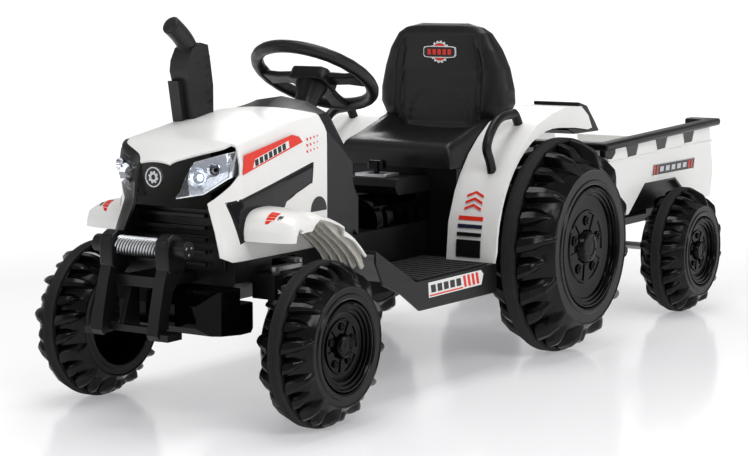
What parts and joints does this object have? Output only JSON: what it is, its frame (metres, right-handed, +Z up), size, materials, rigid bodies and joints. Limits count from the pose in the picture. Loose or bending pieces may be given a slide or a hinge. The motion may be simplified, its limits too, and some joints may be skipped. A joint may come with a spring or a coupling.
{
  "type": "ride-on toy tractor with trailer",
  "caption": "Battery ride-on toy tractor with steered front wheels, bucket seat, winch bumper and a detachable tipping-gate trailer on its own wheels.",
  "frame": {"origin": "on the ground, under the middle of the whole train of tractor and trailer", "axes": "+X forward along the tractor, +Y to the rider's left, +Z up"},
  "size_m": [1.36, 0.46, 0.4822],
  "materials": {
    "white_plastic": "gloss moulded plastic",
    "black_plastic": "satin moulded plastic",
    "charcoal_plastic": "satin moulded plastic",
    "gloss_black": "glossy moulded plastic",
    "seat_black": "fine grained satin",
    "wheel_black": "satin blown plastic",
    "rubber_band": "matt rubber",
    "rubber_mat": "ribbed matt rubber",
    "window_gloss": "dark smoked gloss",
    "reflector": "metallised",
    "lens": "clear",
    "silver_trim": "silver lacquer",
    "steel": "zinc plated"
  },
  "bodies": {
    "tractor": {"battery": "black_plastic", "bumper_bracket": "black_plastic", "chassis": "black_plastic", "dash_cowl": "charcoal_plastic", "engine_cover": "gloss_black", "exhaust_pipe": "charcoal_plastic", "exhaust_stack": "charcoal_plastic", "fender_tails": "black_plastic", "foot_mats": "rubber_mat", "front_fender_left": "white_plastic", "front_fender_right": "white_plastic", "front_weight": "gloss_black", "gearboxes": "black_plastic", "grab_handles": "black_plastic", "grille": "black_plastic", "headlight_lenses": "lens", "headlight_reflectors": "reflector", "hitch_pin": "steel", "hood": "white_plastic", "hood_windows": "window_gloss", "nose_mask": "black_plastic", "rear_axle": "steel", "rear_fender_left": "white_plastic", "rear_fender_right": "white_plastic", "seat": "seat_black", "seat_base": "black_plastic", "shift_bezel": "silver_trim", "winch_coil": "silver_trim", "winch_drum": "black_plastic"},
    "steering": {"steering_shaft": "steel", "steering_wheel": "seat_black"},
    "horn": {"horn_button": "black_plastic"},
    "knuckle_left": {"knuckle_left": "steel"},
    "knuckle_right": {"knuckle_right": "steel"},
    "tie_rod": {"tie_rod": "steel"},
    "shift_lever": {"shift_lever": "black_plastic"},
    "pedal": {"pedal": "black_plastic"},
    "trailer": {"trailer_tub": "white_plastic", "trailer_rail": "black_plastic", "trailer_frame": "black_plastic", "trailer_axle": "steel"},
    "tailgate": {"tailgate": "white_plastic"},
    "front_left_wheel": {"front_wheel_left": "wheel_black", "front_band_left": "rubber_band", "front_cover_left": "gloss_black"},
    "front_right_wheel": {"front_wheel_right": "wheel_black", "front_band_right": "rubber_band", "front_cover_right": "gloss_black"},
    "rear_left_wheel": {"rear_wheel_left": "wheel_black", "rear_band_left": "rubber_band", "rear_cover_left": "gloss_black"},
    "rear_right_wheel": {"rear_wheel_right": "wheel_black", "rear_band_right": "rubber_band", "rear_cover_right": "gloss_black"},
    "trailer_left_wheel": {"trailer_wheel_left": "wheel_black", "trailer_band_left": "rubber_band", "trailer_cover_left": "gloss_black"},
    "trailer_right_wheel": {"trailer_wheel_right": "wheel_black", "trailer_band_right": "rubber_band", "trailer_cover_right": "gloss_black"}
  },
  "joints": [
    {"name": "steering_turn", "type": "hinge", "parent": "tractor", "child": "steering", "pos_m": [0.29, 0, 0.403], "axis": [-0.512, 0, 0.859], "range_deg": [-40, 40]},
    {"name": "horn_press", "type": "slide", "parent": "steering", "child": "horn", "axis": [0.512, 0, -0.859], "range_m": [0, 0.002], "stiffness_N_per_m": 400, "springref_m": -0.0005},
    {"name": "knuckle_left_turn", "type": "hinge", "parent": "tractor", "child": "knuckle_left", "pos_m": [0.524, 0.104, 0.15], "axis": [0, 0, 1], "range_deg": [-25, 25]},
    {"name": "knuckle_right_turn", "type": "hinge", "parent": "tractor", "child": "knuckle_right", "pos_m": [0.524, -0.104, 0.15], "axis": [0, 0, 1], "range_deg": [-25, 25]},
    {"name": "tie_rod_link", "type": "hinge", "parent": "knuckle_left", "child": "tie_rod", "pos_m": [0.479, 0.104, 0.19], "axis": [0, 0, 1], "range_deg": [-25, 25]},
    {"name": "front_left_roll", "type": "hinge", "parent": "knuckle_left", "child": "front_left_wheel", "pos_m": [0.524, 0.172, 0.1], "axis": [0, 1, 0], "continuous": true},
    {"name": "front_right_roll", "type": "hinge", "parent": "knuckle_right", "child": "front_right_wheel", "pos_m": [0.524, -0.172, 0.1], "axis": [0, 1, 0], "continuous": true},
    {"name": "rear_left_roll", "type": "hinge", "parent": "tractor", "child": "rear_left_wheel", "pos_m": [-0.065, 0.177, 0.153], "axis": [0, 1, 0], "continuous": true},
    {"name": "rear_right_roll", "type": "hinge", "parent": "tractor", "child": "rear_right_wheel", "pos_m": [-0.065, -0.177, 0.153], "axis": [0, 1, 0], "continuous": true},
    {"name": "trailer_yaw", "type": "hinge", "parent": "tractor", "child": "trailer", "pos_m": [-0.222, 0, 0.134], "axis": [0, 0, 1], "range_deg": [-25, 25]},
    {"name": "trailer_left_roll", "type": "hinge", "parent": "trailer", "child": "trailer_left_wheel", "pos_m": [-0.473, 0.184, 0.1], "axis": [0, 1, 0], "continuous": true},
    {"name": "trailer_right_roll", "type": "hinge", "parent": "trailer", "child": "trailer_right_wheel", "pos_m": [-0.473, -0.184, 0.1], "axis": [0, 1, 0], "continuous": true},
    {"name": "tailgate_drop", "type": "hinge", "parent": "trailer", "child": "tailgate", "pos_m": [-0.6664, 0, 0.1768], "axis": [0, -1, 0], "range_deg": [0, 95]},
    {"name": "shift_rock", "type": "hinge", "parent": "tractor", "child": "shift_lever", "pos_m": [0.14, 0, 0.249], "axis": [0, 1, 0], "range_deg": [-10, 10]},
    {"name": "pedal_press", "type": "hinge", "parent": "tractor", "child": "pedal", "pos_m": [0.232, -0.11, 0.153], "axis": [0, 1, 0], "range_deg": [0, 10], "stiffness_Nm_per_rad": 1.5, "springref_deg": -2.86}
  ],
  "couplings": [
    {"joint": "knuckle_left_turn", "follows": "steering_turn", "ratio": 0.625},
    {"joint": "knuckle_right_turn", "follows": "steering_turn", "ratio": 0.625},
    {"joint": "tie_rod_link", "follows": "steering_turn", "ratio": -0.625}
  ]
}
